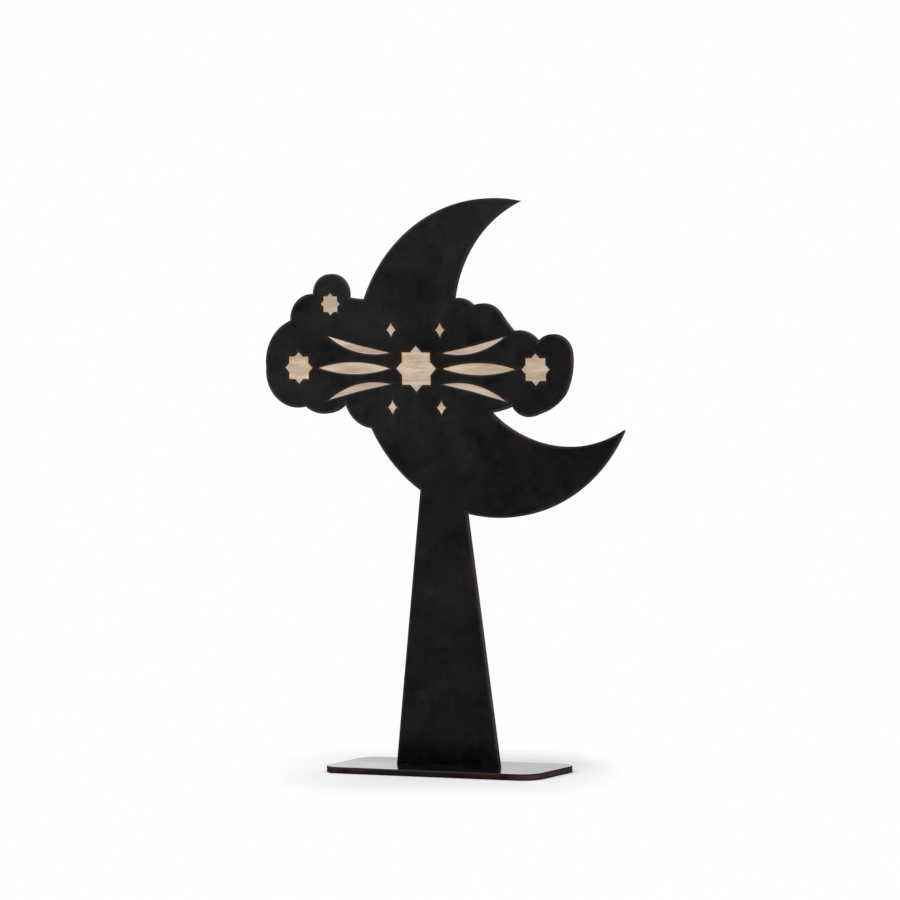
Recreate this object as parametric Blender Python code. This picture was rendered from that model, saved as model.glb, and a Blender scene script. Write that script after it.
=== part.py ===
"""Crescent table stand, laser cut from flat sheet.

A tapered post, a crescent and a cloud are one upright panel. Two tabs on its foot drop into slots
in the base plate. Pale wooden stars, leaves, petals and lozenges are let into openings in the cloud.
Metres, +Z up. The origin is the middle of the base plate's underside, and the panel faces -Y.
"""

import math

import bmesh
import bpy
from mathutils import Vector

# Base plate
BASE_WIDTH = 0.1115
BASE_DEPTH = 0.0445
BASE_THICKNESS = 0.003
BASE_CORNER_RADIUS = 0.009
UPRIGHT_SIDE = 0.001     # the upright stands this far right of the plate's middle
UPRIGHT_FORWARD = 0.002  # and this far towards the front

# Upright panel
SHEET = 0.003
TAB_WIDTH = 0.012
TAB_SPACING = 0.028          # between the middles of the two tabs
POST_FOOT_WIDTH = 0.0533
POST_NECK_WIDTH = 0.0237     # where the post's middle line meets the crescent's rim
POST_ROOT = 0.012            # the post runs this far into the crescent
CRESCENT_RADIUS = 0.0728
CRESCENT_SIDE = 0.0289       # the crescent's middle, from the post's middle line
CRESCENT_HEIGHT = 0.1874     # the crescent's middle, above the base plate
MOUTH_RADIUS = 0.0578
MOUTH_OFFSET = 0.0404        # from the crescent's middle to the middle of the round mouth
MOUTH_TILT = math.radians(26.2)

# Cloud, from its own middle. Each lobe starts at (x, z), and its crown rises this far off the
# straight line to the next start. A lobe with a negative rise is hollow.
CLOUD_SIDE = -0.0409         # the cloud's middle, from the crescent's middle
CLOUD_LIFT = -0.0049
CLOUD_LOBES = [
    (-0.0221, 0.0316, -0.0003),
    (-0.0351, 0.0324, 0.0100),
    (-0.0536, 0.0341, 0.0038),
    (-0.0659, 0.0218, 0.0044),
    (-0.0794, 0.0000, 0.0073),
    (-0.0587, -0.0180, 0.0041),
    (-0.0377, -0.0163, 0.0026),
    (-0.0245, -0.0277, 0.0),
    (0.0307, -0.0208, 0.0009),
    (0.0495, -0.0169, 0.0028),
    (0.0625, -0.0205, 0.0014),
    (0.0764, -0.0111, 0.0014),
    (0.0802, 0.0073, 0.0059),
    (0.0633, 0.0125, 0.0020),
    (0.0504, 0.0174, -0.0002),
    (0.0440, 0.0252, 0.0026),
    (0.0300, 0.0288, 0.0026),
    (0.0159, 0.0305, 0.0),
]

# Inlays, placed from the cloud's middle and mirrored left and right of it
STAR_RADIUS = 0.0106
SIDE_STAR_RADIUS = 0.0074
SIDE_STAR_SIDE = 0.0620
UPPER_STAR_RADIUS = 0.0052
UPPER_STAR_PLACE = (-0.0445, 0.0295)
LEAF_START = 0.0136          # the leaf's inner point
LEAF_LENGTH = 0.0380
LEAF_HALF_WIDTH = 0.0028
PETAL_START = (0.0136, 0.0072)
PETAL_END = (0.0465, 0.0148)
PETAL_LOWER_RISE = 0.0037
PETAL_UPPER_RISE = -0.0004
LOZENGE_PLACE = (0.0128, 0.0178)
LOZENGE_HALF_WIDTH = 0.0025
LOZENGE_HALF_HEIGHT = 0.0036
LOZENGE_HOLLOW = 0.0003      # how far each side of a lozenge bows in
INLAY_RECESS = 0.0003        # the wood lies this far below the panel's two faces

# Fits
SEAT_GAP = 0.0003            # the post's shoulders above the base plate
SLOT_CLEARANCE = 0.0003      # around each tab
INLAY_CLEARANCE = 0.0003     # around each inlay
TAB_SHORT = 0.0003           # the tabs stop this far above the plate's underside

# Fineness of every round stretch
ARC_STEP = math.radians(4.0)

# Cutting
BLANK_MARGIN = 0.010         # the sheet's waste all round the panel
CUTTER_SHEETS = 3            # how many sheets thick the thinnest cutter is

# Finishes: colour, roughness
BLACK_BOARD = ((0.013, 0.012, 0.012), 0.42)
BLACK_GLOSS = ((0.012, 0.011, 0.011), 0.12)
PALE_WOOD = ((0.66, 0.50, 0.36), 0.60)

CRESCENT_MIDDLE = Vector((CRESCENT_SIDE, CRESCENT_HEIGHT))
CLOUD_MIDDLE = CRESCENT_MIDDLE + Vector((CLOUD_SIDE, CLOUD_LIFT))
FACE_FORWARD = (math.pi / 2, 0.0, 0.0)      # turns a flat outline drawn in X, Y upright


def clear_scene():
    for item in list(bpy.data.objects):
        bpy.data.objects.remove(item, do_unlink=True)


def new_collection(name):
    collection = bpy.data.collections.new(name)
    bpy.context.scene.collection.children.link(collection)
    return collection


def circle_points(middle, radius, start, sweep):
    """Points round a circle from the angle start through sweep, both ends included."""
    steps = max(2, math.ceil(abs(sweep) / ARC_STEP))
    points = []
    for step in range(steps + 1):
        angle = start + sweep * step / steps
        points.append(middle + radius * Vector((math.cos(angle), math.sin(angle))))
    return points


def bowed_line(start, end, rise):
    """Points from start up to end, not including end, along an arc whose crown is rise to the right."""
    if abs(rise) < 1e-6:
        return [start]
    chord = end - start
    radius = (chord.length ** 2 / 4 + rise ** 2) / (2 * abs(rise))
    right = Vector((chord.y, -chord.x)).normalized() * math.copysign(1.0, rise)
    middle = (start + end) / 2 + right * (abs(rise) - radius)
    first = start - middle
    last = end - middle
    begin = math.atan2(first.y, first.x)
    sweep = (math.atan2(last.y, last.x) - begin) % math.tau
    if rise < 0:
        sweep -= math.tau
    return circle_points(middle, radius, begin, sweep)[:-1]


def bowed_outline(corners):
    """A closed outline, counterclockwise, through corners given as (x, z, rise to the next corner)."""
    points = []
    for index, (x, z, rise) in enumerate(corners):
        after = corners[(index + 1) % len(corners)]
        points += bowed_line(Vector((x, z)), Vector(after[:2]), rise)
    return points


def grown(points, margin):
    """The closed counterclockwise outline moved outwards by margin, its corners kept sharp."""
    result = []
    for index, point in enumerate(points):
        before = (point - points[index - 1]).normalized()
        after = (points[(index + 1) % len(points)] - point).normalized()
        normal = Vector((before.y + after.y, -before.x - after.x)).normalized()
        reach = normal.dot(Vector((after.y, -after.x)))
        result.append(point + normal * margin / reach)
    return result


def moved(points, place):
    return [point + Vector(place) for point in points]


def mirrored(points):
    """The outline flipped left to right, still counterclockwise."""
    return [Vector((-point.x, point.y)) for point in reversed(points)]


def flipped(points):
    """The outline flipped top to bottom, still counterclockwise."""
    return [Vector((point.x, -point.y)) for point in reversed(points)]


def flat_solid(name, outlines, thickness, collection):
    """A plate of the given thickness from a filled flat curve; outlines inside another are holes."""
    curve = bpy.data.curves.new(name, "CURVE")
    curve.dimensions = "2D"
    curve.fill_mode = "BOTH"
    curve.extrude = thickness / 2
    for outline in outlines:
        spline = curve.splines.new("POLY")
        spline.points.add(len(outline) - 1)
        for spot, point in zip(spline.points, outline):
            spot.co = (point.x, point.y, 0.0, 1.0)
        spline.use_cyclic_u = True
    drawn = bpy.data.objects.new(name + "_curve", curve)
    collection.objects.link(drawn)
    return meshed(drawn, name, collection)


def meshed(drawn, name, collection):
    """Turn a curve object into a welded mesh object of the same place."""
    bpy.context.view_layer.update()
    evaluated = drawn.evaluated_get(bpy.context.evaluated_depsgraph_get())
    mesh = bpy.data.meshes.new_from_object(evaluated)
    mesh.name = name
    shape = bmesh.new()
    shape.from_mesh(mesh)
    bmesh.ops.remove_doubles(shape, verts=shape.verts, dist=1e-6)
    bmesh.ops.recalc_face_normals(shape, faces=shape.faces)
    shape.to_mesh(mesh)
    shape.free()
    solid = bpy.data.objects.new(name, mesh)
    collection.objects.link(solid)
    solid.matrix_world = drawn.matrix_world
    bpy.data.objects.remove(drawn, do_unlink=True)
    return solid


def sheet_blank(name, points, collection):
    """A plain piece of sheet, a little larger all round than the points to be cut from it."""
    low = Vector((min(point.x for point in points), min(point.y for point in points)))
    high = Vector((max(point.x for point in points), max(point.y for point in points)))
    size = high - low + Vector((2 * BLANK_MARGIN, 2 * BLANK_MARGIN))
    mesh = bpy.data.meshes.new(name)
    shape = bmesh.new()
    bmesh.ops.create_cube(shape, size=1.0)
    bmesh.ops.scale(shape, vec=(size.x, size.y, SHEET), verts=shape.verts)
    bmesh.ops.translate(shape, vec=((low + high) / 2).to_3d(), verts=shape.verts)
    shape.to_mesh(mesh)
    shape.free()
    blank = bpy.data.objects.new(name, mesh)
    collection.objects.link(blank)
    return blank


def combine(target, tool, operation):
    """Join or cut target with a hidden tool object."""
    tool.hide_render = True
    tool.display_type = "WIRE"
    modifier = target.modifiers.new(tool.name, "BOOLEAN")
    modifier.operation = operation
    modifier.solver = "EXACT"
    modifier.object = tool


def finish(solid, colour, roughness):
    """Give a solid its own plain material."""
    material = bpy.data.materials.new(solid.name)
    material.use_nodes = True
    shader = material.node_tree.nodes["Principled BSDF"]
    shader.inputs["Base Color"].default_value = (*colour, 1.0)
    shader.inputs["Roughness"].default_value = roughness
    shader.inputs["Metallic"].default_value = 0.0
    solid.data.materials.clear()
    solid.data.materials.append(material)


def rectangle(width, height, middle):
    across = width / 2
    up = height / 2
    corners = [(-across, -up), (across, -up), (across, up), (-across, up)]
    return [Vector(corner) + Vector(middle) for corner in corners]


def rounded_rectangle(width, height, radius):
    points = []
    for quarter, (side, end) in enumerate([(1, 1), (-1, 1), (-1, -1), (1, -1)]):
        middle = Vector((side * (width / 2 - radius), end * (height / 2 - radius)))
        points += circle_points(middle, radius, quarter * math.pi / 2, math.pi / 2)
    return points


def crescent_outline():
    """The outer rim from one tip round to the other, then back along the mouth."""
    turn = Vector((math.cos(MOUTH_TILT), math.sin(MOUTH_TILT)))
    mouth = CRESCENT_MIDDLE + turn * MOUTH_OFFSET
    along = (MOUTH_OFFSET ** 2 + CRESCENT_RADIUS ** 2 - MOUTH_RADIUS ** 2) / (2 * MOUTH_OFFSET)
    rim_half = math.acos(along / CRESCENT_RADIUS)
    mouth_half = math.acos((along - MOUTH_OFFSET) / MOUTH_RADIUS)
    rim = circle_points(CRESCENT_MIDDLE, CRESCENT_RADIUS, MOUTH_TILT + rim_half,
                        math.tau - 2 * rim_half)
    inner = circle_points(mouth, MOUTH_RADIUS, MOUTH_TILT - mouth_half,
                          2 * mouth_half - math.tau)
    return rim + inner[1:-1]


def post_outline():
    """The tapered post, from its shoulders on the base plate into the crescent."""
    rim_height = CRESCENT_HEIGHT - math.sqrt(CRESCENT_RADIUS ** 2 - CRESCENT_SIDE ** 2)
    slope = (POST_FOOT_WIDTH - POST_NECK_WIDTH) / 2 / rim_height
    foot = POST_FOOT_WIDTH / 2 - slope * SEAT_GAP
    top_height = rim_height + POST_ROOT
    top = POST_NECK_WIDTH / 2 - slope * POST_ROOT
    near = (TAB_SPACING - TAB_WIDTH) / 2
    far = (TAB_SPACING + TAB_WIDTH) / 2
    tab_end = TAB_SHORT - BASE_THICKNESS
    right_side = [(near, SEAT_GAP), (near, tab_end), (far, tab_end), (far, SEAT_GAP),
                  (foot, SEAT_GAP), (top, top_height)]
    left_side = [(-x, z) for x, z in reversed(right_side)]
    return [Vector(corner) for corner in right_side + left_side]


def cloud_outline():
    return moved(bowed_outline(CLOUD_LOBES), CLOUD_MIDDLE)


def star(radius):
    """An eight-pointed star made of two equal squares, one turned by an eighth of a circle."""
    notch = radius * math.cos(math.pi / 4) / math.cos(math.pi / 8)
    points = []
    for step in range(16):
        reach = radius if step % 2 == 0 else notch
        angle = step * math.tau / 16
        points.append(reach * Vector((math.cos(angle), math.sin(angle))))
    return points


def lozenge():
    corners = [(0.0, -LOZENGE_HALF_HEIGHT), (LOZENGE_HALF_WIDTH, 0.0),
               (0.0, LOZENGE_HALF_HEIGHT), (-LOZENGE_HALF_WIDTH, 0.0)]
    return bowed_outline([(x, z, -LOZENGE_HOLLOW) for x, z in corners])


def leaf():
    end = LEAF_START + LEAF_LENGTH
    return bowed_outline([(LEAF_START, 0.0, LEAF_HALF_WIDTH), (end, 0.0, LEAF_HALF_WIDTH)])


def petal():
    return bowed_outline([(*PETAL_START, PETAL_LOWER_RISE), (*PETAL_END, PETAL_UPPER_RISE)])


def inlay_outlines():
    """Every inlay's outline by name, placed on the panel."""
    outlines = {
        "inlay_star_middle": star(STAR_RADIUS),
        "inlay_star_upper": moved(star(UPPER_STAR_RADIUS), UPPER_STAR_PLACE),
    }
    right_side = {
        "inlay_star": moved(star(SIDE_STAR_RADIUS), (SIDE_STAR_SIDE, 0.0)),
        "inlay_leaf": leaf(),
        "inlay_petal_upper": petal(),
        "inlay_petal_lower": flipped(petal()),
        "inlay_lozenge_upper": moved(lozenge(), LOZENGE_PLACE),
        "inlay_lozenge_lower": flipped(moved(lozenge(), LOZENGE_PLACE)),
    }
    for name, outline in right_side.items():
        outlines[name + "_right"] = outline
        outlines[name + "_left"] = mirrored(outline)
    return {name: moved(outline, CLOUD_MIDDLE) for name, outline in outlines.items()}


def build_base(parts):
    """The plate that the stand rests on, with a slot right through it for each tab."""
    outlines = [rounded_rectangle(BASE_WIDTH, BASE_DEPTH, BASE_CORNER_RADIUS)]
    for side in (-1, 1):
        middle = (UPRIGHT_SIDE + side * TAB_SPACING / 2, -UPRIGHT_FORWARD)
        outlines.append(rectangle(TAB_WIDTH + 2 * SLOT_CLEARANCE, SHEET + 2 * SLOT_CLEARANCE, middle))
    base = flat_solid("base_plate", outlines, BASE_THICKNESS, parts)
    base.location.z = BASE_THICKNESS / 2
    finish(base, *BLACK_GLOSS)


def build_panel(parts, tools, openings):
    """The upright, with its origin on the line that it lifts along, level with the base's top."""
    outlines = {"crescent": crescent_outline(), "cloud": cloud_outline(), "post": post_outline()}
    panel = sheet_blank("upright_panel", sum(outlines.values(), []), parts)
    silhouette = None
    for count, (name, outline) in enumerate(outlines.items()):
        # Each cutter is thicker than the one before, so that no two of their ends are level
        thickness = (CUTTER_SHEETS + count) * SHEET
        tool = flat_solid(name + "_cutter", [outline], thickness, tools)
        tool.parent = panel
        if silhouette is None:
            silhouette = tool
        else:
            combine(silhouette, tool, "UNION")
    combine(panel, silhouette, "INTERSECT")
    holes = flat_solid("inlay_openings", openings, CUTTER_SHEETS * SHEET, tools)
    holes.parent = panel
    combine(panel, holes, "DIFFERENCE")
    panel.location = (UPRIGHT_SIDE, -UPRIGHT_FORWARD, BASE_THICKNESS)
    panel.rotation_euler = FACE_FORWARD
    finish(panel, *BLACK_BOARD)
    return panel


def build_inlays(parts, panel, outlines):
    for name, outline in outlines.items():
        inlay = flat_solid(name, [outline], SHEET - 2 * INLAY_RECESS, parts)
        inlay.parent = panel
        finish(inlay, *PALE_WOOD)


def main():
    clear_scene()
    parts = new_collection("crescent_stand")
    tools = new_collection("cutters")
    outlines = inlay_outlines()
    openings = [grown(outline, INLAY_CLEARANCE) for outline in outlines.values()]
    build_base(parts)
    panel = build_panel(parts, tools, openings)
    build_inlays(parts, panel, outlines)


main()
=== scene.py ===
"""Looks of the crescent table stand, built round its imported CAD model.

Every CAD node gets a dressed twin: its own outline, read from the node's mesh, rebuilt as a sheet with
softened arrises, a scorched rim and separate finishes for the faces and the laser-cut edges.
Metres, +Z up, the object's front towards -Y.
"""

import math

import bmesh
import bpy
import numpy as np
from mathutils import Matrix, Vector


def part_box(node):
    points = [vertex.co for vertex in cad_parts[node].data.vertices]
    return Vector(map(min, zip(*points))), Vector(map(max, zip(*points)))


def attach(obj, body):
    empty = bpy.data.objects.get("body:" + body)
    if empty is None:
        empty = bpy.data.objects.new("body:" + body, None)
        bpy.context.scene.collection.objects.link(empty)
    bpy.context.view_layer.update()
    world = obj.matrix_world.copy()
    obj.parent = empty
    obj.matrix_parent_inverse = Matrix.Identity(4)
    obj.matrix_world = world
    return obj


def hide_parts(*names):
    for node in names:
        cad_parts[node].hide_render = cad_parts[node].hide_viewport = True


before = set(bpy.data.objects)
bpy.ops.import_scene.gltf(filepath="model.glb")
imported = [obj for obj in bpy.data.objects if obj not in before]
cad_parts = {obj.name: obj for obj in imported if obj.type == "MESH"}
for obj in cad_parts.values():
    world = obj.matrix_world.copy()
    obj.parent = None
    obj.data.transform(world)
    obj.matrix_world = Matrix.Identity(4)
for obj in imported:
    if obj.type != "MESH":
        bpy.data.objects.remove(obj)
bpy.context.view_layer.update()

# Camera, as fitted to the photographed outline
CAMERA_TARGET = Vector((0.00514, -0.0020, 0.14824))
CAMERA_AZIMUTH = math.radians(28.92)
CAMERA_ELEVATION = math.radians(3.70)
CAMERA_ROLL = math.radians(-1.24)
CAMERA_DISTANCE = 3.1007
CAMERA_LENS = 271.48
SENSOR_WIDTH = 36.0
CLIP_START = 0.1
CLIP_END = 60.0

FRONT = Vector((0.0, -1.0, 0.0))
TOP = Vector((0.0, 0.0, 1.0))

# Reading outlines from the CAD meshes
FACING = 0.99                         # a face looks along a direction from this cosine up
WELD = 1e-6                           # CAD points closer than this are one point
REPEATED = 2e-5                       # outline points closer than this are one point
STRAIGHT = math.radians(0.05)         # a smaller turn is no corner

# Moving outlines into the material
POINTS_AT_ONCE = 256                  # points measured together
LONGEST_MITRE = 1.5                   # how far a corner that points into the material may run ahead
SHORT_SIDE_SHARE = 0.7                # a sharp corner moves at most this share of its shorter side
NEAR_SHARE = 0.93                     # a moved point nearer to an outline than this share moved too far
LOOK_AHEAD = 1.6                      # a point this much further on looks for an outline across
ACROSS_SHARE = 0.5                    # and one nearer to it than this share is in the way
SHRINK = 0.8                          # a move that is too long shrinks to this share
NARROW_TRIES = 16
CROSSING_TRIES = 24

# Dressing of the sheets
BOARD = 0.003                         # thickness of both boards
BASE_ARRIS = 0.00022
BASE_RIM = 0.0006
PANEL_ARRIS = 0.00014
PANEL_RIM = 0.0012
INLAY_ARRIS = 0.00010
INLAY_RIM = 0.00080
GLUE_LINE = (0.00028, 0.00031)        # depth below the face, and width, of the dark line round an inlay
GRAIN_SHIFT = (0.37, 0.11, 0.053)     # how far the wood's grain moves from one inlay to the next
ARRIS_STEPS = 3                       # faces round each softened arris
SUPPORT = 0.00006                     # a narrow flat ring behind each arris
SMOOTH_TURN = math.radians(6.5)       # corners sharper than this stay corners
LONGEST_CHORD = 0.007                 # longer edges are straight lines, not chords of an arc
CHORD_STEPS = 4
SHARP_ANGLE = math.radians(33.0)
TOP_OUTLINE_HIGHLIGHT_SHARE = 0.3                      # how strong the painted highlight is on a top outline, where on a left or lower one it is 1
SEAT = 0.00005                        # the dressed post stands this far above the base plate
SEAT_REACH = 0.0005                   # points up to this far above the plate are the post's shoulders


# Outlines

def face_loops(node, normal):
    """Closed outlines round the faces of a CAD node that look along normal, the material on the left."""
    shape = bmesh.new()
    shape.from_mesh(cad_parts[node].data)
    bmesh.ops.remove_doubles(shape, verts=shape.verts, dist=WELD)
    shape.normal_update()
    following = {}
    for face in shape.faces:
        if face.normal.dot(normal) < FACING:
            continue
        for corner in face.loops:
            if corner.link_loop_radial_next.face.normal.dot(normal) < FACING:
                following[corner.vert.index] = corner.link_loop_next.vert.index
    shape.verts.ensure_lookup_table()
    places = [vert.co.copy() for vert in shape.verts]
    shape.free()
    loops = []
    while following:
        start = min(following)
        loop = [start]
        spot = following.pop(start)
        while spot != start:
            loop.append(spot)
            spot = following.pop(spot)
        loops.append([places[index] for index in loop])
    return loops


def turn_between(first, second):
    return math.atan2(first.x * second.y - first.y * second.x, first.dot(second))


def is_outer(loop):
    """Whether the outline goes round its sheet and not round a hole."""
    return sum(loop[index - 1].cross(point) for index, point in enumerate(loop)) > 0


def cleaned(points):
    """The outline without repeated points and points in the middle of a straight line."""
    kept = [point for index, point in enumerate(points)
            if (point - points[index - 1]).length > REPEATED]
    result = []
    for index, point in enumerate(kept):
        before = point - kept[index - 1]
        after = kept[(index + 1) % len(kept)] - point
        if abs(turn_between(before, after)) > STRAIGHT:
            result.append(point)
    return result


def rounded(points):
    """The outline with its short chords bent back into the arcs that they stand for."""
    count = len(points)
    chords = [points[(index + 1) % count] - points[index] for index in range(count)]
    tangents = []
    for index in range(count):
        before = chords[index - 1]
        after = chords[index]
        if abs(turn_between(before, after)) < SMOOTH_TURN:
            tangent = before.normalized() * after.length + after.normalized() * before.length
            tangents.append(tangent.normalized())
        else:
            tangents.append(None)
    result = []
    for index, chord in enumerate(chords):
        result.append(points[index])
        leaving = tangents[index]
        arriving = tangents[(index + 1) % count]
        if chord.length > LONGEST_CHORD or (leaving is None and arriving is None):
            continue
        along = chord.normalized()
        if leaving is None:
            leaving = 2 * arriving.dot(along) * along - arriving
        if arriving is None:
            arriving = 2 * leaving.dot(along) * along - leaving
        for step in range(1, CHORD_STEPS):
            t = step / CHORD_STEPS
            result.append((2 * t**3 - 3 * t**2 + 1) * points[index]
                          + (t**3 - 2 * t**2 + t) * chord.length * leaving
                          + (3 * t**2 - 2 * t**3) * (points[index] + chord)
                          + (t**3 - t**2) * chord.length * arriving)
    return result


def inset(loops, distance):
    """Every outline moved into the material by distance, or less where the material is too narrow.

    Returns the moved outlines and, for each point, the share of the distance that it moved."""
    starts = np.array([point for loop in loops for point in loop])
    ends = np.array([loop[(index + 1) % len(loop)] for loop in loops for index in range(len(loop))])
    befores = np.array([loop[index - 1] for loop in loops for index in range(len(loop))])
    leaving = ends - starts
    arriving = starts - befores
    reach = np.minimum(np.hypot(*leaving.T), np.hypot(*arriving.T))
    leaving /= np.hypot(*leaving.T)[:, None]
    arriving /= np.hypot(*arriving.T)[:, None]
    normals = np.stack([-leaving[:, 1] - arriving[:, 1], leaving[:, 0] + arriving[:, 0]], 1)
    mitres = normals / (1 + (leaving * arriving).sum(1))[:, None]
    shares = np.full(len(starts), float(distance))
    if distance > 0:
        convex = arriving[:, 0] * leaving[:, 1] - arriving[:, 1] * leaving[:, 0] > math.sin(SMOOTH_TURN)
        lengths = np.hypot(*mitres.T)
        mitres *= np.where(convex, 1.0, np.minimum(1.0, LONGEST_MITRE / lengths))[:, None]
        shares = np.where(convex, np.minimum(shares, SHORT_SIDE_SHARE * reach / lengths), shares)
        narrow = np.arange(len(starts))
        for _ in range(NARROW_TRIES):
            share = shares[narrow]
            moved = starts[narrow] + mitres[narrow] * share[:, None]
            beyond = starts[narrow] + mitres[narrow] * (LOOK_AHEAD * share)[:, None]
            near = distances(moved, starts, ends) < NEAR_SHARE * share
            across = distances(beyond, starts, ends) < ACROSS_SHARE * share
            narrow = narrow[near | across]
            shares[narrow] *= SHRINK
        counts = np.cumsum([0] + [len(loop) for loop in loops])
        after = np.arange(len(starts)) + 1
        after[counts[1:] - 1] = counts[:-1]
        for _ in range(CROSSING_TRIES):
            crossed = crossings(starts + mitres * shares[:, None], after)
            if not crossed.any():
                break
            crossed[after[crossed]] = True
            shares[crossed] *= SHRINK
    moved = starts + mitres * shares[:, None]
    result = []
    first = 0
    for loop in loops:
        last = first + len(loop)
        moved_by = shares[first:last] / distance if distance else shares[first:last]
        result.append((moved[first:last], moved_by))
        first = last
    return result


def crossings(points, after):
    """Which points start a segment that crosses another segment of the outlines."""
    ends = points[after]
    spans = ends - points
    result = np.zeros(len(points), bool)
    for first in range(0, len(points), POINTS_AT_ONCE):
        some = slice(first, first + POINTS_AT_ONCE)
        start, end, span = points[some, None], ends[some, None], spans[some, None]
        apart = cross(span, points - start) * cross(span, ends - start) < 0
        apart &= cross(spans, start - points) * cross(spans, end - points) < 0
        result[some] = apart.any(1)
    return result


def cross(first, second):
    return first[..., 0] * second[..., 1] - first[..., 1] * second[..., 0]


def distances(points, starts, ends):
    """From each point to the nearest of the segments."""
    spans = ends - starts
    lengths = (spans ** 2).sum(1)
    nearest = np.empty(len(points))
    for first in range(0, len(points), POINTS_AT_ONCE):
        offsets = points[first:first + POINTS_AT_ONCE, None] - starts
        t = np.clip((offsets * spans).sum(2) / lengths, 0, 1)
        ways = offsets - spans * t[:, :, None]
        nearest[first:first + POINTS_AT_ONCE] = np.hypot(ways[:, :, 0], ways[:, :, 1]).min(1)
    return nearest


# Sheets

class Profile:
    """The cross-section of a sheet's edge: each ring's inset and depth, and the finish between rings."""

    def __init__(self, thickness, arris, rim, collar=None):
        half = [(rim, 0.0), (arris + SUPPORT, 0.0)]
        for step in range(ARRIS_STEPS + 1):
            angle = math.pi / 2 * step / ARRIS_STEPS
            half.append((arris * (1 - math.sin(angle)), arris * (1 - math.cos(angle))))
        finishes = [0] + [0] + [1] * ARRIS_STEPS
        if collar:
            depth, width = collar
            half += [(0.0, depth), (-width, depth)]
            finishes += [1, 2]
        self.rings = half + [(reach, thickness - depth) for reach, depth in reversed(half)]
        self.finishes = finishes + [2 if collar else 1] + finishes[::-1]


def build_sheet(name, loops, place, thickness, arris, rim, collar=None):
    """A sheet with holes. place(x, y, depth) puts a flat point at a depth behind the face.

    Its points carry burn, 1 at the cut outline and 0 at the rim's inner line, under, 1 where the
    outline looks down, and a painted highlight value, up to 1 where an outer outline is painted paler."""
    profile = Profile(thickness, arris, rim, collar)
    shape = bmesh.new()
    burn = shape.verts.layers.float.new("burn")
    under = shape.verts.layers.float.new("under")
    painted_lit_outline = shape.verts.layers.float.new("painted_lit_outline")
    strip = shape.loops.layers.uv.new("strip")
    insets = {reach: inset(loops, reach) for reach in {reach for reach, _ in profile.rings}}
    rim_edges = ([], [])
    for number, loop in enumerate(loops):
        rings = []
        count = len(loop)
        ways = [(loop[(index + 1) % count] - loop[index - 1]).normalized() for index in range(count)]
        outer = is_outer(loop)
        for reach, depth in profile.rings:
            moved, shares = insets[reach][number]
            ring = []
            for point, share, way in zip(moved, shares, ways):
                vert = shape.verts.new(place(point[0], point[1], depth))
                vert[burn] = min(1.0, max(0.0, 1 - share * reach / rim))
                vert[under] = max(0.0, way.x)
                low = way.x - max(0.0, way.y)
                # Painted highlight: left and lower outer outlines get it fully, top ones a little
                vert[painted_lit_outline] = max(0.0, -way.y, low, -TOP_OUTLINE_HIGHLIGHT_SHARE * way.x) if outer else 0.0
                ring.append(vert)
            rings.append(ring)
        lengths = [0.0]
        for index in range(count):
            lengths.append(lengths[-1] + (loop[(index + 1) % count] - loop[index]).length)
        for level, finish in enumerate(profile.finishes):
            near, far = rings[level], rings[level + 1]
            near_depth, far_depth = profile.rings[level][1], profile.rings[level + 1][1]
            for index in range(count):
                after = (index + 1) % count
                face = shape.faces.new((near[index], far[index], far[after], near[after]))
                face.material_index = finish
                face.smooth = True
                places = ((index, near_depth), (index, far_depth),
                          (index + 1, far_depth), (index + 1, near_depth))
                for corner, (along, depth) in zip(face.loops, places):
                    corner[strip].uv = (lengths[along], depth / thickness)
        for side, ring in ((0, rings[0]), (1, rings[-1])):
            for index, vert in enumerate(ring):
                rim_edges[side].append(shape.edges.get((vert, ring[(index + 1) % len(ring)])))
    outward = place(0, 0, 0) - place(0, 0, 1)
    for side, edges in enumerate(rim_edges):
        normal = outward if side == 0 else -outward
        filled = bmesh.ops.triangle_fill(shape, edges=edges, use_beauty=True, use_dissolve=False,
                                         normal=normal)
        for face in filled["geom"]:
            if isinstance(face, bmesh.types.BMFace):
                face.smooth = True
    bmesh.ops.recalc_face_normals(shape, faces=shape.faces)
    mesh = bpy.data.meshes.new(name)
    shape.to_mesh(mesh)
    shape.free()
    mesh.set_sharp_from_angle(angle=SHARP_ANGLE)
    item = bpy.data.objects.new(name, mesh)
    bpy.context.scene.collection.objects.link(item)
    return item


def dress(node, body, normal, arris, rim, materials, collar=None):
    """Build a node's dressed twin, give it its finishes and let it stand for the node."""
    low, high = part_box(node)
    if normal == FRONT:
        thickness = high.y - low.y
        loops = [[Vector((point.x, point.z)) for point in loop] for loop in face_loops(node, normal)]

        def place(x, y, depth):
            return Vector((x, low.y + depth, y))
    else:
        thickness = high.z - low.z
        loops = [[Vector((point.x, point.y)) for point in loop] for loop in face_loops(node, normal)]

        def place(x, y, depth):
            return Vector((x, y, high.z - depth))
    loops = [rounded(cleaned(loop)) for loop in loops]
    if node == "upright_panel":
        base_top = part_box("base_plate")[1].z
        loops = [[seated(point, base_top) for point in loop] for loop in loops]
    item = build_sheet("dressed_" + node, loops, place, thickness, arris, rim, collar)
    for material in materials:
        item.data.materials.append(material)
    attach(item, body)
    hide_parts(node)
    return item


def seated(point, base_top):
    """Points of the post's shoulders, brought down onto the base plate."""
    if 0 < point.y - base_top < SEAT_REACH:
        return Vector((point.x, base_top + SEAT))
    return point


# Node helpers

NOISE_LOW = 0.3                       # most of a noise texture's values lie from here
NOISE_HIGH = 0.7                      # to here


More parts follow.
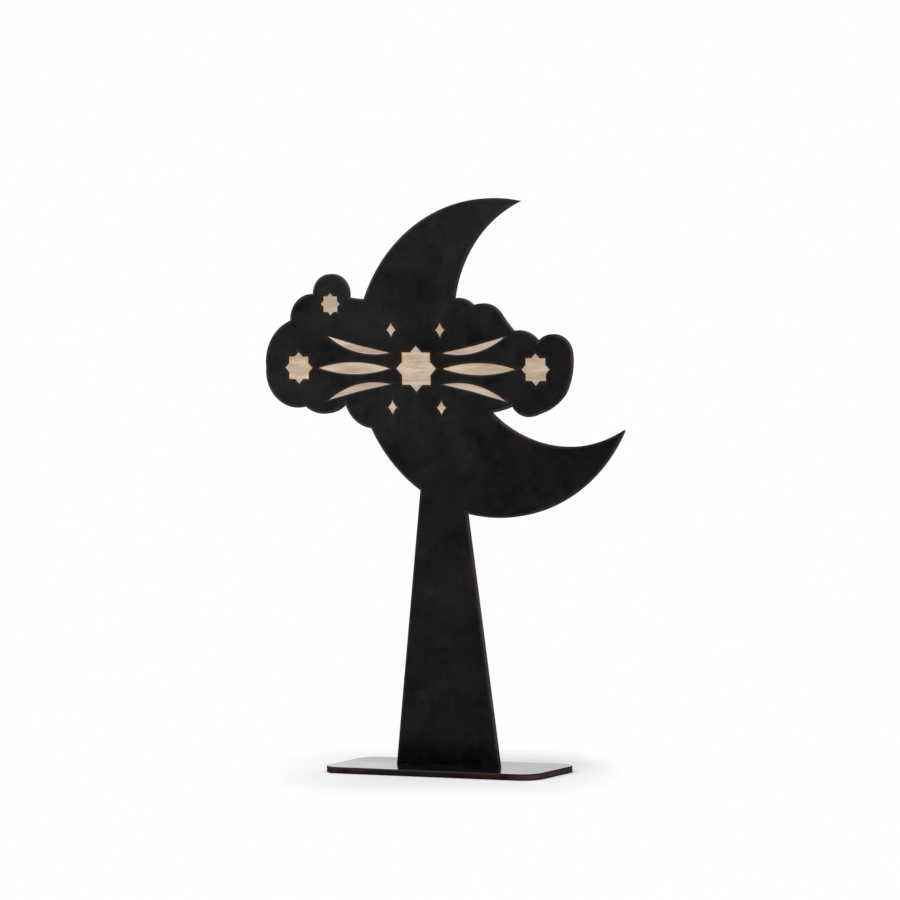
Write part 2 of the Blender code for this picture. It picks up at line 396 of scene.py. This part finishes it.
class Nodes:
    """Short hand for building a node tree."""

    def __init__(self, tree):
        self.tree = tree
        self.tree.nodes.clear()

    def add(self, kind, inputs=None, **settings):
        node = self.tree.nodes.new(kind)
        for name, value in settings.items():
            setattr(node, name, value)
        for name, value in (inputs or {}).items():
            if isinstance(value, bpy.types.NodeSocket):
                self.tree.links.new(value, node.inputs[name])
            else:
                node.inputs[name].default_value = value
        return node

    def link(self, source, node, name):
        self.tree.links.new(source, node.inputs[name])

    def maths(self, operation, first, second=0.0, clamp=False):
        node = self.add("ShaderNodeMath", {0: first, 1: second}, operation=operation, use_clamp=clamp)
        return node.outputs[0]

    def step(self, value, low, high, to_low=0.0, to_high=1.0):
        node = self.add("ShaderNodeMapRange", {"Value": value, "From Min": low, "From Max": high,
                                               "To Min": to_low, "To Max": to_high},
                        interpolation_type="SMOOTHSTEP")
        return node.outputs["Result"]

    def ramp(self, value, low, high, to_low=0.0, to_high=1.0):
        node = self.add("ShaderNodeMapRange", {"Value": value, "From Min": low, "From Max": high,
                                               "To Min": to_low, "To Max": to_high})
        return node.outputs["Result"]

    def spread(self, noise, to_low, to_high):
        """A noise value, which mostly keeps to its usual range, spread from to_low to to_high."""
        return self.ramp(noise, NOISE_LOW, NOISE_HIGH, to_low, to_high)

    def weighted(self, first, first_share, second, second_share):
        """The two values added up, each times its share."""
        return self.maths("ADD", self.maths("MULTIPLY", first, first_share),
                          self.maths("MULTIPLY", second, second_share))

    def blend(self, share, first, second):
        node = self.add("ShaderNodeMix", data_type="RGBA")
        for index, value in ((0, share), (6, first), (7, second)):
            if isinstance(value, bpy.types.NodeSocket):
                self.tree.links.new(value, node.inputs[index])
            elif index == 0:
                node.inputs[index].default_value = value
            else:
                node.inputs[index].default_value = (*value, 1.0)
        return node.outputs[2]

    def scaled(self, vector, scale, turn=(0.0, 0.0, 0.0)):
        node = self.add("ShaderNodeMapping", {"Vector": vector, "Scale": scale, "Rotation": turn})
        return node.outputs["Vector"]

    def noise(self, vector, scale, detail=2.0, roughness=0.5, distortion=0.0):
        node = self.add("ShaderNodeTexNoise", {"Vector": vector, "Scale": scale, "Detail": detail,
                                               "Roughness": roughness, "Distortion": distortion})
        return node.outputs["Fac"]

    def bump(self, height, strength, distance, normal=None):
        node = self.add("ShaderNodeBump", {"Height": height, "Strength": strength, "Distance": distance})
        if normal is not None:
            self.link(normal, node, "Normal")
        return node.outputs["Normal"]


def new_material(name):
    material = bpy.data.materials.new(name)
    material.use_nodes = True
    nodes = Nodes(material.node_tree)
    shader = nodes.add("ShaderNodeBsdfPrincipled")
    output = nodes.add("ShaderNodeOutputMaterial")
    nodes.link(shader.outputs["BSDF"], output, "Surface")
    return material, nodes, shader


def place_of(nodes):
    return nodes.add("ShaderNodeTexCoord").outputs["Object"]


def burn_of(nodes):
    return nodes.add("ShaderNodeAttribute", attribute_name="burn").outputs["Fac"]


def strip_of(nodes):
    """Along the cut edge in metres, and its depth from 0 at the front face to 1 at the back."""
    both = nodes.add("ShaderNodeUVMap", uv_map="strip").outputs["UV"]
    parts = nodes.add("ShaderNodeSeparateXYZ", {"Vector": both})
    return parts.outputs["X"], parts.outputs["Y"]


# Materials

BLACK = (0.0015, 0.0013, 0.0014)
BLACK_WORN = (0.0070, 0.0060, 0.0058)
BLACK_SOOT = (0.0005, 0.0005, 0.0006)
PLUM = (0.0068, 0.0044, 0.0062)         # the face's faint purple patches
MOSS = (0.0037, 0.0049, 0.0041)         # and its faint green ones
SCORCH = (0.030, 0.0195, 0.0150)        # the line along every cut outline
HALO = (0.0110, 0.0076, 0.0062)         # and the browned band inside it
PAINTED_OUTLINE_HIGHLIGHT = (0.0300, 0.0245, 0.0255)       # painted highlight: the paler line on an outer outline, as if its edge caught the light
PAINTED_OUTLINE_HIGHLIGHT_LOW = (0.0330, 0.0225, 0.0190)   # and that painted highlight where the outline looks down
POST_LINE_TOP = 0.110                 # up to here, on the post, the painted highlight line is faint
CLOUD_LINE_START = 0.135              # and from here up it is clear
FOOT_SHADE_LOW = 0.004                 # up to here, painted shade takes the shine off the post's face next to the base plate
FOOT_SHADE_HIGH = 0.021                # and from here up it has its full shine
FOOT_LINE_LOW = 0.0036                # up to here, the post's scorched rim is faint
FOOT_LINE_HIGH = 0.0062               # and from here up it is full
DUST = (0.16, 0.155, 0.15)
PAINTED_LIT_END = (0.085, 0.048, 0.042)        # painted light on the base plate's cut edge towards its right end
SKIN_END = (0.0170, 0.0200, 0.0160)     # and the line along that edge's top there
GLOSS_DEEP = (0.0042, 0.0044, 0.0044)
GLOSS_WIPED = (0.0082, 0.0084, 0.0082)
GLOSS_RIM = (0.0060, 0.0100, 0.0090)
GLOSS_CLEAR = (1.0, 1.0, 0.985)         # tint of the gloss in the plate's middle
GLOSS_CYAN = (0.68, 1.0, 0.965)         # and near its edges
GLOSS_CYAN_REACH = 0.015              # how far in from the plate's edge the gloss looks cyan
WOOD_DEEP = (0.371, 0.276, 0.195)
WOOD_LIGHT = (0.546, 0.428, 0.317)
WOOD_LINE = (0.330, 0.229, 0.151)
WOOD_FLECK = (0.414, 0.253, 0.147)
WOOD_PORE = (0.24, 0.155, 0.095)
WOOD_TOAST = (0.330, 0.185, 0.095)
WOOD_BURNT = (0.085, 0.042, 0.022)
WOOD_PAINTED_LIT_RIM = (0.56, 0.50, 0.43)      # painted highlight along an inlay's lower outline
CHAR_DEEP = (0.010, 0.0062, 0.0045)
CHAR_BROWN = (0.034, 0.020, 0.013)
# Painted light on the inlays' lower sides
PAINTED_LIT_SIDE = (0.30, 0.26, 0.22)


def dust_on(nodes, place, scale, share, size):
    """Sparse round specks: 1 inside a speck, 0 elsewhere."""
    cells = nodes.add("ShaderNodeTexVoronoi", {"Vector": place, "Scale": scale})
    kept = nodes.add("ShaderNodeSeparateColor", {"Color": cells.outputs["Color"]})
    chosen = nodes.maths("LESS_THAN", kept.outputs["Red"], share)
    wide = nodes.maths("MULTIPLY", kept.outputs["Green"], size)
    speck = nodes.maths("LESS_THAN", cells.outputs["Distance"], wide)
    return nodes.maths("MULTIPLY", chosen, speck)


def black_face(name, roughness, specular, soot):
    """Dull black board, smudged and faintly tinted, scorched along its outlines, with a painted highlight
    line on outer outlines and painted shade taking the shine off the post's foot.
    """
    material, nodes, shader = new_material(name)
    place = place_of(nodes)
    clouds = nodes.noise(place, 31.0, 5.0, 0.60, 0.5)
    streaks = nodes.noise(nodes.scaled(place, (420.0, 420.0, 26.0)), 1.0, 3.0, 0.6)
    patches = nodes.noise(nodes.scaled(place, (1.0, 1.0, 1.3)), 62.0, 3.0, 0.55, 0.4)
    worn = nodes.maths("MULTIPLY", nodes.step(clouds, 0.44, 0.66), nodes.spread(streaks, 0.85, 1.0))
    sooty = nodes.maths("MULTIPLY", nodes.step(patches, 0.52, 0.70), soot)
    colour = nodes.blend(worn, BLACK, BLACK_WORN)
    colour = nodes.blend(sooty, colour, BLACK_SOOT)
    tint = nodes.noise(place, 58.0, 3.0, 0.6)
    colour = nodes.blend(nodes.step(tint, 0.49, 0.64, 0.0, 0.9), colour, PLUM)
    colour = nodes.blend(nodes.step(tint, 0.36, 0.49, 0.65, 0.0), colour, MOSS)
    height = nodes.add("ShaderNodeSeparateXYZ", {"Vector": place}).outputs["Z"]
    above_foot = nodes.step(height, FOOT_LINE_LOW, FOOT_LINE_HIGH, 0.15, 1.0)
    burn = nodes.maths("MULTIPLY", burn_of(nodes), above_foot)
    uneven = nodes.noise(place, 260.0, 3.0, 0.6)
    edge = nodes.step(nodes.maths("ADD", burn, nodes.spread(uneven, -0.15, 0.15)), 0.52, 1.0)
    colour = nodes.blend(nodes.step(burn, 0.10, 0.75, 0.0, 0.75), colour, HALO)
    colour = nodes.blend(nodes.maths("MULTIPLY", edge, 0.85), colour, SCORCH)
    # Painted highlight: a paler line along outer outlines, as if their edges caught the light
    painted_lit_outline = nodes.add("ShaderNodeAttribute", attribute_name="painted_lit_outline").outputs["Fac"]
    line = nodes.maths("MULTIPLY", nodes.step(burn, 0.0, 0.24), nodes.step(painted_lit_outline, 0.05, 0.65))
    line = nodes.maths("MULTIPLY", line, nodes.step(height, POST_LINE_TOP, CLOUD_LINE_START, 0.35, 1.0))
    line = nodes.maths("MULTIPLY", line, nodes.ramp(uneven, 0.35, 0.65, 0.55, 1.0))
    below = nodes.add("ShaderNodeAttribute", attribute_name="under").outputs["Fac"]
    colour = nodes.blend(line, colour, nodes.blend(below, PAINTED_OUTLINE_HIGHLIGHT, PAINTED_OUTLINE_HIGHLIGHT_LOW))
    specks = dust_on(nodes, place, 75.0, 0.10, 0.022)
    colour = nodes.blend(specks, colour, DUST)
    nodes.link(colour, shader, "Base Color")
    rough = nodes.ramp(nodes.weighted(clouds, 0.7, patches, 0.3), 0.30, 0.70,
                       roughness + 0.08, roughness - 0.07)
    nodes.link(nodes.maths("ADD", rough, nodes.maths("MULTIPLY", edge, 0.2)), shader, "Roughness")
    mottled = nodes.weighted(clouds, 0.55, patches, 0.45)
    contrast = nodes.step(height, POST_LINE_TOP, CLOUD_LINE_START, 0.60, 1.06)
    swing = nodes.maths("MULTIPLY", nodes.maths("SUBTRACT", mottled, 0.5), contrast)
    mottled = nodes.maths("ADD", swing, 0.5)
    shine = nodes.ramp(mottled, 0.34, 0.66, 1.60 * specular, 0.48 * specular)
    broad_smudges = nodes.noise(place, 17.0, 1.0, 0.4)
    shine = nodes.maths("MULTIPLY", shine, nodes.ramp(broad_smudges, 0.35, 0.65, 1.27, 0.74))
    shine = nodes.maths("MULTIPLY", shine, nodes.spread(streaks, 0.96, 1.04))
    grit = nodes.noise(place, 520.0, 3.0, 0.65)
    shine = nodes.maths("MULTIPLY", shine, nodes.spread(grit, 0.86, 1.14))
    # Painted shade: the post's shine fades towards its foot
    shine = nodes.maths("MULTIPLY", shine, nodes.step(height, FOOT_SHADE_LOW, FOOT_SHADE_HIGH, 0.08, 1.0))
    shader.inputs["Specular IOR Level"].default_value = specular
    nodes.link(shine, shader, "Specular IOR Level")
    fine = nodes.noise(place, 2600.0, 3.0, 0.6)
    broad = nodes.noise(place, 240.0, 2.0, 0.5)
    normal = nodes.bump(broad, 0.12, 0.0004)
    normal = nodes.bump(fine, 0.10, 0.00008, normal)
    nodes.link(normal, shader, "Normal")
    return material


def gloss_face(name):
    """Hard glossy black with faint wipe marks, fine scratches and a little dust."""
    material, nodes, shader = new_material(name)
    place = place_of(nodes)
    wipes = nodes.noise(nodes.scaled(place, (18.0, 60.0, 60.0), (0.0, 0.0, 0.35)), 1.0, 4.0, 0.6, 0.8)
    smears = nodes.noise(place, 70.0, 4.0, 0.6, 0.5)
    scratch = nodes.noise(nodes.scaled(place, (60.0, 2400.0, 1.0), (0.0, 0.0, 0.5)), 1.0, 1.0, 0.5)
    scratch = nodes.maths("MULTIPLY", nodes.step(scratch, 0.66, 0.74), nodes.step(smears, 0.5, 0.62))
    specks = dust_on(nodes, place, 110.0, 0.16, 0.030)
    colour = nodes.blend(nodes.step(wipes, 0.40, 0.68), GLOSS_DEEP, GLOSS_WIPED)
    colour = nodes.blend(specks, colour, DUST)
    burn = burn_of(nodes)
    colour = nodes.blend(nodes.step(burn, 0.6, 1.0, 0.0, 0.6), colour, GLOSS_RIM)
    nodes.link(colour, shader, "Base Color")
    rough = nodes.ramp(wipes, 0.35, 0.70, 0.10, 0.19)
    rough = nodes.maths("ADD", rough, nodes.maths("MULTIPLY", scratch, 0.18))
    rough = nodes.maths("ADD", rough, nodes.maths("MULTIPLY", specks, 0.5))
    nodes.link(rough, shader, "Roughness")
    shader.inputs["IOR"].default_value = 1.56
    spot = nodes.add("ShaderNodeSeparateXYZ", {"Vector": place})
    forward = nodes.weighted(spot.outputs["X"], -0.5, spot.outputs["Y"], -2.0)
    smeared = nodes.spread(smears, 0.30, 0.60)
    film = nodes.maths("MULTIPLY", nodes.step(forward, -0.015, 0.060), smeared)
    shader.inputs["Coat Weight"].default_value = 0.2
    nodes.link(film, shader, "Coat Weight")
    shader.inputs["Coat Roughness"].default_value = 0.12
    low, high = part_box("base_plate")
    side_room = nodes.maths("SUBTRACT", high.x, nodes.maths("ABSOLUTE", spot.outputs["X"]))
    end_room = nodes.maths("SUBTRACT", high.y, nodes.maths("ABSOLUTE", spot.outputs["Y"]))
    inside = nodes.maths("MINIMUM", side_room, end_room)
    cyan = nodes.step(inside, 0.0, GLOSS_CYAN_REACH, 1.0, 0.0)
    nodes.link(nodes.blend(cyan, GLOSS_CLEAR, GLOSS_CYAN), shader, "Coat Tint")
    wave = nodes.noise(place, 55.0, 2.0, 0.4)
    nodes.link(nodes.bump(scratch, 0.2, 0.00002, nodes.bump(wave, 0.05, 0.0006)), shader, "Normal")
    return material


def cut_edge(name, middle, dark, skin, skin_depth, patchy, specular=0.06,
             middle_shade_end_light=None, foot_darkening=None):
    """A laser-cut edge: scorched arrises, a warmer core that varies along its length, and fine cut lines.

    With a middle reach, the edge has painted shade within that distance of the object's middle and
    painted light beyond it on the right. With a foot height, it is darker below that height."""
    material, nodes, shader = new_material(name)
    along, depth = strip_of(nodes)
    place = place_of(nodes)
    through = nodes.maths("MULTIPLY", depth, BOARD)
    run = nodes.add("ShaderNodeCombineXYZ", {"X": along, "Y": through}).outputs["Vector"]
    lines = nodes.noise(nodes.scaled(run, (2600.0, 110.0, 1.0)), 1.0, 3.0, 0.65)
    slow = nodes.noise(run, 55.0, 3.0, 0.6)
    fibre = nodes.noise(nodes.scaled(run, (500.0, 2400.0, 1.0)), 1.0, 3.0, 0.6)
    front = nodes.step(depth, 0.02, skin_depth, 1.0, 0.0)
    back = nodes.step(depth, 0.66, 0.97)
    scorched = nodes.maths("MAXIMUM", front, back)
    wander = nodes.spread(fibre, -0.22, 0.22)
    scorched = nodes.maths("ADD", scorched, wander, clamp=True)
    warm = nodes.blend(nodes.step(slow, 0.38, 0.64), middle, patchy)
    warm = nodes.blend(nodes.ramp(lines, 0.35, 0.65, 0.0, 0.55), warm, dark)
    if middle_shade_end_light:
        # Painted shade in the middle, painted light towards the right end
        side = nodes.add("ShaderNodeSeparateXYZ", {"Vector": place}).outputs["X"]
        inner = nodes.step(nodes.maths("ABSOLUTE", side), 0.4 * middle_shade_end_light, middle_shade_end_light, 0.70, 0.0)
        warm = nodes.blend(inner, warm, dark)
        warm = nodes.blend(nodes.step(side, middle_shade_end_light, 1.25 * middle_shade_end_light, 0.0, 0.45), warm, PAINTED_LIT_END)
        skin = nodes.blend(nodes.step(side, 0.8 * middle_shade_end_light, middle_shade_end_light), skin, SKIN_END)
    if foot_darkening:
        # Darker towards the foot
        height = nodes.add("ShaderNodeSeparateXYZ", {"Vector": place}).outputs["Z"]
        warm = nodes.blend(nodes.step(height, 0.3 * foot_darkening, foot_darkening, 0.85, 0.0), warm, dark)
    colour = nodes.blend(scorched, warm, dark)
    colour = nodes.blend(nodes.maths("MULTIPLY", front, 0.85), colour, skin)
    nodes.link(colour, shader, "Base Color")
    nodes.link(nodes.spread(lines, 0.48, 0.72), shader, "Roughness")
    shader.inputs["Specular IOR Level"].default_value = specular
    grain = nodes.noise(place, 1800.0, 2.0, 0.6)
    normal = nodes.bump(lines, 0.45, 0.00012)
    nodes.link(nodes.bump(grain, 0.2, 0.00006, normal), shader, "Normal")
    return material


def pale_wood(name):
    """Close-grained pale wood with level grain, fine pores and flecks, toasted along its cut outline, the
    toast weaker where the outline looks down and a pale rim there: painted light on lower outlines,
    painted shade on upper ones.
    """
    material, nodes, shader = new_material(name)
    place = place_of(nodes)
    shift = nodes.add("ShaderNodeAttribute", attribute_name="shift").outputs["Vector"]
    there = nodes.add("ShaderNodeVectorMath", {0: place, 1: shift}, operation="ADD").outputs["Vector"]
    broad = nodes.noise(nodes.scaled(there, (26.0, 26.0, 210.0)), 1.0, 4.0, 0.6, 0.5)
    fine = nodes.noise(nodes.scaled(there, (90.0, 90.0, 1500.0)), 1.0, 3.0, 0.6)
    pores = nodes.noise(nodes.scaled(there, (420.0, 420.0, 4200.0)), 1.0, 2.0, 0.6)
    flecks = nodes.noise(nodes.scaled(there, (240.0, 240.0, 620.0)), 1.0, 2.0, 0.5)
    colour = nodes.blend(nodes.step(broad, 0.36, 0.64), WOOD_DEEP, WOOD_LIGHT)
    colour = nodes.blend(nodes.step(fine, 0.50, 0.68, 0.0, 0.60), colour, WOOD_LINE)
    colour = nodes.blend(nodes.step(flecks, 0.57, 0.69, 0.0, 0.60), colour, WOOD_FLECK)
    colour = nodes.blend(nodes.step(pores, 0.66, 0.74, 0.0, 0.40), colour, WOOD_PORE)
    burn = burn_of(nodes)
    uneven = nodes.noise(there, 700.0, 3.0, 0.6)
    below = nodes.add("ShaderNodeAttribute", attribute_name="under").outputs["Fac"]
    # Real scorch along the outline, weakened where the outline looks down: painted shade left on the upper
    # outlines
    toast = nodes.maths("ADD", burn, nodes.spread(uneven, -0.18, 0.18))
    toast = nodes.maths("SUBTRACT", toast, nodes.maths("MULTIPLY", below, 0.55))
    colour = nodes.blend(nodes.step(toast, 0.20, 0.75, 0.0, 0.65), colour, WOOD_TOAST)
    colour = nodes.blend(nodes.step(toast, 0.74, 1.0, 0.0, 0.9), colour, WOOD_BURNT)
    # Painted highlight: a pale rim along lower outlines
    rim = nodes.maths("MULTIPLY", nodes.step(burn, 0.35, 0.9), nodes.maths("MULTIPLY", below, 0.90))
    colour = nodes.blend(rim, colour, WOOD_PAINTED_LIT_RIM)
    nodes.link(colour, shader, "Base Color")
    nodes.link(nodes.spread(fine, 0.50, 0.68), shader, "Roughness")
    shader.inputs["Specular IOR Level"].default_value = 0.35
    normal = nodes.bump(broad, 0.10, 0.0003)
    normal = nodes.bump(fine, 0.25, 0.00008, normal)
    normal = nodes.bump(pores, 0.20, 0.00006, normal)
    nodes.link(normal, shader, "Normal")
    return material


def char(name):
    """The scorched sides of the inlays and the dark glue line round them, paled by painted light where the
    outline looks down.
    """
    material, nodes, shader = new_material(name)
    place = place_of(nodes)
    grain = nodes.noise(place, 900.0, 4.0, 0.65)
    colour = nodes.blend(nodes.ramp(grain, 0.35, 0.65), CHAR_DEEP, CHAR_BROWN)
    below = nodes.add("ShaderNodeAttribute", attribute_name="under").outputs["Fac"]
    # Painted light: paler where the outline looks down
    lit_side = nodes.maths("MULTIPLY", below, nodes.spread(grain, 0.35, 0.75))
    colour = nodes.blend(lit_side, colour, PAINTED_LIT_SIDE)
    nodes.link(colour, shader, "Base Color")
    nodes.link(nodes.spread(grain, 0.45, 0.8), shader, "Roughness")
    shader.inputs["Specular IOR Level"].default_value = 0.2
    nodes.link(nodes.bump(grain, 0.5, 0.0001), shader, "Normal")
    return material


# The object

panel_face = black_face("black_board_face", roughness=0.36, specular=0.20, soot=0.80)
panel_edge = cut_edge("board_cut_edge", middle=(0.050, 0.034, 0.0270), dark=(0.0150, 0.0103, 0.0082),
                      skin=(0.0120, 0.0098, 0.0084), skin_depth=0.22, patchy=(0.082, 0.054, 0.042),
                      foot_darkening=0.014)
base_face = gloss_face("gloss_black_face")
base_edge = cut_edge("base_cut_edge", middle=(0.0190, 0.0072, 0.0063), dark=(0.0110, 0.0050, 0.0046),
                     skin=(0.0330, 0.0390, 0.0355), skin_depth=0.34, patchy=(0.0480, 0.0235, 0.0195),
                     specular=0.01, middle_shade_end_light=0.042)
wood = pale_wood("pale_wood")
charred = char("charred_side")

dress("base_plate", "base", TOP, BASE_ARRIS, BASE_RIM, [base_face, base_edge])
dress("upright_panel", "upright", FRONT, PANEL_ARRIS, PANEL_RIM,
      [panel_face, panel_edge])
for number, node in enumerate(sorted(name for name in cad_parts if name.startswith("inlay_"))):
    inlay = dress(node, "upright", FRONT, INLAY_ARRIS, INLAY_RIM,
                  [wood, charred, charred], collar=GLUE_LINE)
    shift = inlay.data.attributes.new("shift", "FLOAT_VECTOR", "POINT")
    offset = tuple(step * number for step in GRAIN_SHIFT)
    shift.data.foreach_set("vector", offset * len(inlay.data.vertices))


# Floor, light and camera

# The pool of shade on the floor, placed to lie level in the photo's view
POOL_MIDDLE = Vector((-0.0025, -0.0014, 0.0))
POOL_ACROSS = Vector((0.0810, 0.0262))   # from the pool's middle to its end
POOL_DEEP = Vector((0.0555, -0.1005))    # and to its front
POOL_SQUARENESS = 1.2                    # how much sooner the shade ends in front than at the ends
POOL_FADE = 0.25                         # the shade starts to fade out here, and is gone at 1
FLOOR_TONE = 0.67                        # as the camera sees it
CLOTH_TONE = 0.68                        # as it lights the object
CLOTH_TONE_IN_GLOSS = 0.30               # and as glossy faces mirror it
FLOOR_SIZE = 12.0
FLOOR_CELLS = 8
WHITE = (1.0, 1.0, 1.0, 1.0)
ROOM_FRONT_TONE = 0.08                   # glossy faces see the room this bright in front, and 1 behind
ROOM_LIGHT = 0.85                        # strength of the room's even light on the object
LIGHTS_AIM = Vector((0.0, 0.0, 0.13))

# Name, azimuth and elevation in degrees, distance, size and power in watts of each soft box
SOFT_BOXES = [
    ("key", -58, 50, 1.9, (1.5, 1.5), 6.0),
    ("fill", 66, 46, 2.0, (1.5, 1.5), 5.0),
    ("overhead", 0, 88, 1.6, (1.4, 1.4), 7.0),
    ("near", -30, 40, 0.55, (0.35, 0.35), 1.0),
    ("low_left", -42, 7, 0.60, (0.16, 0.16), 0.10),
]


def pale_floor():
    """A pale floor that keeps the shade close round the object and fades to white beyond it."""
    material = bpy.data.materials.new("pale_floor")
    material.use_nodes = True
    nodes = Nodes(material.node_tree)
    path = nodes.add("ShaderNodeLightPath").outputs
    place = nodes.add("ShaderNodeNewGeometry").outputs["Position"]
    apart = nodes.add("ShaderNodeVectorMath", {0: place, 1: POOL_MIDDLE}, operation="SUBTRACT")
    offset = apart.outputs["Vector"]
    shares = Matrix((POOL_ACROSS, POOL_DEEP)).transposed().inverted()
    across, deep = [nodes.add("ShaderNodeVectorMath", {0: offset, 1: (*row, 0.0)}, operation="DOT_PRODUCT")
                    .outputs["Value"] for row in shares]
    ends = nodes.maths("POWER", nodes.maths("ABSOLUTE", across), 4.0)
    front = nodes.maths("MULTIPLY", nodes.maths("MULTIPLY", deep, deep), POOL_SQUARENESS)
    away = nodes.maths("ADD", ends, front)
    cloth_tone = nodes.ramp(path["Is Glossy Ray"], 0.0, 1.0, CLOTH_TONE, CLOTH_TONE_IN_GLOSS)
    cloth = nodes.add("ShaderNodeBsdfDiffuse", {"Color": cloth_tone})
    shown = nodes.add("ShaderNodeBsdfDiffuse", {"Color": (FLOOR_TONE, FLOOR_TONE, FLOOR_TONE, 1.0)})
    white = nodes.add("ShaderNodeEmission", {"Color": WHITE, "Strength": 1.0})
    fade = nodes.ramp(away, POOL_FADE, 1.0)
    seen = nodes.add("ShaderNodeMixShader", {0: fade, 1: shown.outputs[0], 2: white.outputs[0]})
    straight = nodes.maths("MAXIMUM", path["Is Camera Ray"], path["Is Transmission Ray"])
    surface = nodes.add("ShaderNodeMixShader", {0: straight, 1: cloth.outputs[0], 2: seen.outputs[0]})
    output = nodes.add("ShaderNodeOutputMaterial")
    nodes.link(surface.outputs[0], output, "Surface")
    return material


def build_floor():
    mesh = bpy.data.meshes.new("floor")
    shape = bmesh.new()
    bmesh.ops.create_grid(shape, x_segments=FLOOR_CELLS, y_segments=FLOOR_CELLS, size=FLOOR_SIZE)
    shape.to_mesh(mesh)
    shape.free()
    floor = bpy.data.objects.new("floor", mesh)
    bpy.context.scene.collection.objects.link(floor)
    mesh.materials.append(pale_floor())


def build_world():
    world = bpy.data.worlds.new("studio")
    bpy.context.scene.world = world
    world.use_nodes = True
    nodes = Nodes(world.node_tree)
    path = nodes.add("ShaderNodeLightPath").outputs
    direction = nodes.add("ShaderNodeTexCoord").outputs["Generated"]
    parts = nodes.add("ShaderNodeSeparateXYZ", {"Vector": direction})
    room = nodes.step(parts.outputs["Y"], -0.30, 0.25, ROOM_FRONT_TONE, 1.0)
    gloss = nodes.maths("MULTIPLY", path["Is Glossy Ray"], room)
    straight = nodes.maths("MAXIMUM", path["Is Camera Ray"], path["Is Transmission Ray"])
    seen = nodes.maths("MAXIMUM", straight, gloss)
    direct = nodes.maths("MAXIMUM", straight, path["Is Glossy Ray"])
    lit = nodes.maths("MULTIPLY", nodes.maths("SUBTRACT", 1.0, direct), ROOM_LIGHT)
    strength = nodes.maths("ADD", seen, lit)
    light = nodes.add("ShaderNodeBackground", {"Color": WHITE, "Strength": strength})
    output = nodes.add("ShaderNodeOutputWorld")
    nodes.link(light.outputs[0], output, "Surface")


def softbox(name, azimuth, elevation, distance, size, power):
    lamp = bpy.data.lights.new(name, "AREA")
    lamp.shape = "RECTANGLE"
    lamp.size, lamp.size_y = size
    lamp.energy = power
    item = bpy.data.objects.new(name, lamp)
    bpy.context.scene.collection.objects.link(item)
    turn, lift = math.radians(azimuth), math.radians(elevation)
    back = Vector((math.sin(turn) * math.cos(lift), -math.cos(turn) * math.cos(lift), math.sin(lift)))
    item.location = LIGHTS_AIM + back * distance
    item.visible_camera = False
    item.rotation_mode = "QUATERNION"
    item.rotation_quaternion = (-back).to_track_quat("-Z", "Y")


def build_camera():
    away = Vector((math.sin(CAMERA_AZIMUTH) * math.cos(CAMERA_ELEVATION),
                   -math.cos(CAMERA_AZIMUTH) * math.cos(CAMERA_ELEVATION), math.sin(CAMERA_ELEVATION)))
    right = (-away).cross(TOP).normalized()
    up = right.cross(-away)
    turned_right = right * math.cos(CAMERA_ROLL) + up * math.sin(CAMERA_ROLL)
    turned_up = up * math.cos(CAMERA_ROLL) - right * math.sin(CAMERA_ROLL)
    lens = bpy.data.cameras.new("camera")
    lens.lens = CAMERA_LENS
    lens.sensor_width = SENSOR_WIDTH
    lens.clip_start = CLIP_START
    lens.clip_end = CLIP_END
    camera = bpy.data.objects.new("camera", lens)
    bpy.context.scene.collection.objects.link(camera)
    turn = Matrix((turned_right, turned_up, away)).transposed()
    camera.matrix_world = Matrix.Translation(CAMERA_TARGET + away * CAMERA_DISTANCE) @ turn.to_4x4()
    bpy.context.scene.camera = camera


build_floor()
build_world()
for values in SOFT_BOXES:
    softbox(*values)
build_camera()
bpy.context.scene.view_settings.view_transform = "Standard"
